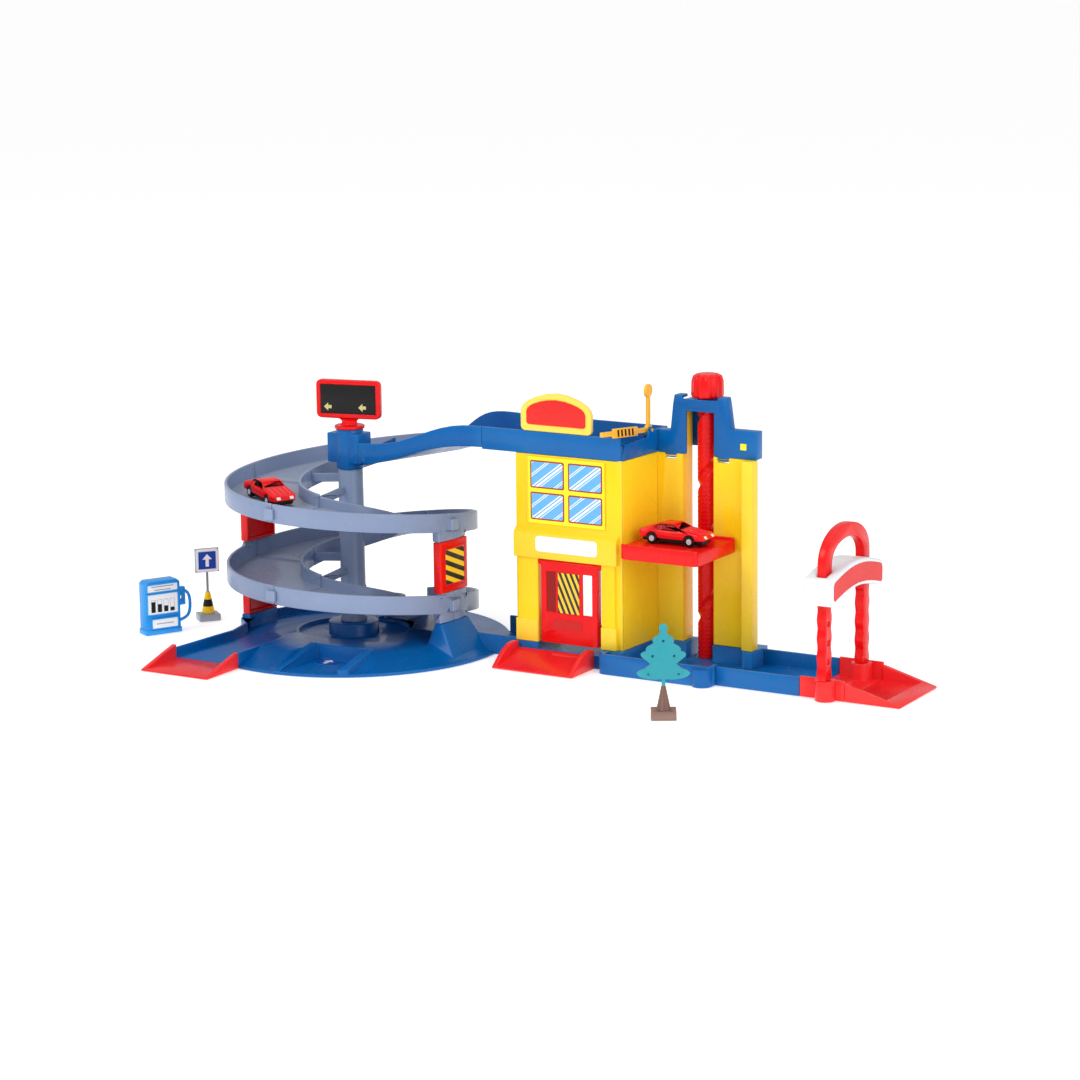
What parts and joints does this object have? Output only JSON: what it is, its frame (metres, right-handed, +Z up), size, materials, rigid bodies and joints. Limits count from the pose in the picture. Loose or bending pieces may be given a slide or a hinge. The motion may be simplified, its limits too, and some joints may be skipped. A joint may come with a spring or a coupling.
{
  "type": "toy parking garage",
  "caption": "Toy parking garage with a swing-up door, a screw-driven lift, a roof deck, a barrier, a spiral ramp, road pieces and toy cars.",
  "frame": {"origin": "on the floor, under the axis of the spiral ramp's column, on the flat underside of the spiral's base", "axes": "+X from the spiral to the gate along the length, +Y to the back, +Z up"},
  "size_m": [0.8044, 0.3602, 0.281],
  "materials": {
    "base_blue": "glossy moulded",
    "ramp_grey": "glossy moulded",
    "red": "glossy moulded",
    "front_yellow": "glossy moulded",
    "side_yellow": "glossy moulded",
    "barrier_orange": "glossy moulded",
    "white": "glossy moulded",
    "black": "satin",
    "car_red": "gloss paint",
    "car_silver": "bright",
    "pump_blue": "glossy moulded",
    "teal": "glossy moulded",
    "brown": "glossy moulded",
    "stone_grey": "glossy moulded"
  },
  "bodies": {
    "garage": {"ramp_entry": "base_blue", "spiral_base": "base_blue", "building_base": "base_blue", "right_track": "base_blue", "roof_deck": "base_blue", "lift_head": "base_blue", "bridge_track": "base_blue", "column_tub": "base_blue", "ramp_quarter_1": "ramp_grey", "ramp_quarter_2": "ramp_grey", "ramp_quarter_3": "ramp_grey", "ramp_quarter_4": "ramp_grey", "ramp_quarter_5": "ramp_grey", "ramp_quarter_6": "ramp_grey", "ramp_quarter_7": "ramp_grey", "ramp_quarter_8": "ramp_grey", "column_lower": "ramp_grey", "column_middle": "ramp_grey", "column_upper": "ramp_grey", "support_left_lower": "red", "support_left_upper": "red", "support_right": "red", "left_exit_ramp": "red", "door_ramp": "red", "gate_base": "red", "right_exit_ramp": "red", "gate_arch": "red", "exit_sign": "red", "front_wall": "front_yellow", "lift_wall_right": "front_yellow", "arched_sign": "front_yellow", "left_side_wall": "side_yellow", "right_side_wall": "side_yellow", "lift_wall_left": "side_yellow", "barrier_pin": "barrier_orange", "gate_board": "white", "exit_sign_panel": "black"},
    "lift_screw": {"lift_screw": "red", "lift_knob": "red"},
    "lift_platform": {"lift_platform": "red", "lift_follower": "red"},
    "garage_door": {"garage_door": "red"},
    "barrier": {"barrier_arm": "barrier_orange"},
    "lift_car": {"lift_car_body": "car_red", "lift_car_glass": "black", "lift_car_chassis": "black"},
    "lift_car_front_axle": {"lift_car_front_axle": "car_silver"},
    "lift_car_rear_axle": {"lift_car_rear_axle": "car_silver"},
    "ramp_car": {"ramp_car_body": "car_red", "ramp_car_glass": "black", "ramp_car_chassis": "black"},
    "ramp_car_front_axle": {"ramp_car_front_axle": "car_silver"},
    "ramp_car_rear_axle": {"ramp_car_rear_axle": "car_silver"},
    "fuel_pump": {"pump_body": "pump_blue", "pump_hose": "pump_blue"},
    "parking_sign": {"parking_sign_base": "stone_grey", "parking_sign_cone": "front_yellow", "parking_sign_plate": "pump_blue"},
    "tree": {"tree_trunk": "brown", "tree_plate": "teal"}
  },
  "joints": [
    {"name": "lift_screw_turn", "type": "hinge", "parent": "garage", "child": "lift_screw", "pos_m": [0.35, 0.093, 0.2], "axis": [0, 0, -1], "range_deg": [-604, 449]},
    {"name": "lift_platform_slide", "type": "slide", "parent": "garage", "child": "lift_platform", "axis": [0, 0, 1], "range_m": [-0.1091, 0.0811]},
    {"name": "door_flap", "type": "hinge", "parent": "garage", "child": "garage_door", "pos_m": [0.244, 0.011, 0.0994], "axis": [-1, 0, 0], "range_deg": [0, 85]},
    {"name": "barrier_lift", "type": "hinge", "parent": "garage", "child": "barrier", "pos_m": [0.298, 0.0695, 0.226], "axis": [-1, 0, 0], "range_deg": [0, 75]},
    {"name": "lift_car_off", "type": "slide", "parent": "lift_platform", "child": "lift_car", "axis": [0, 0, 1], "range_m": [0, 0.05]},
    {"name": "ramp_car_off", "type": "slide", "parent": "garage", "child": "ramp_car", "axis": [0, 0, 1], "range_m": [0, 0.05]},
    {"name": "fuel_pump_off", "type": "slide", "parent": "garage", "child": "fuel_pump", "axis": [0, 0, 1], "range_m": [0, 0.05]},
    {"name": "parking_sign_off", "type": "slide", "parent": "garage", "child": "parking_sign", "axis": [0, 0, 1], "range_m": [0, 0.05]},
    {"name": "tree_off", "type": "slide", "parent": "garage", "child": "tree", "axis": [0, 0, 1], "range_m": [0, 0.05]},
    {"name": "lift_car_front_wheels", "type": "hinge", "parent": "lift_car", "child": "lift_car_front_axle", "pos_m": [0.3675, 0.035, 0.1313], "axis": [0, 1, 0], "continuous": true},
    {"name": "lift_car_rear_wheels", "type": "hinge", "parent": "lift_car", "child": "lift_car_rear_axle", "pos_m": [0.3275, 0.035, 0.1313], "axis": [0, 1, 0], "continuous": true},
    {"name": "ramp_car_front_wheels", "type": "hinge", "parent": "ramp_car", "child": "ramp_car_front_axle", "pos_m": [-0.03731, -0.07115, 0.15256], "axis": [0.5007, 0.8655, 0.0126], "continuous": true},
    {"name": "ramp_car_rear_wheels", "type": "hinge", "parent": "ramp_car", "child": "ramp_car_rear_axle", "pos_m": [-0.07188, -0.0512, 0.15515], "axis": [0.5007, 0.8655, 0.0126], "continuous": true}
  ],
  "couplings": [
    {"joint": "lift_screw_turn", "follows": "lift_platform_slide", "rad_per_m": 96.664}
  ]
}
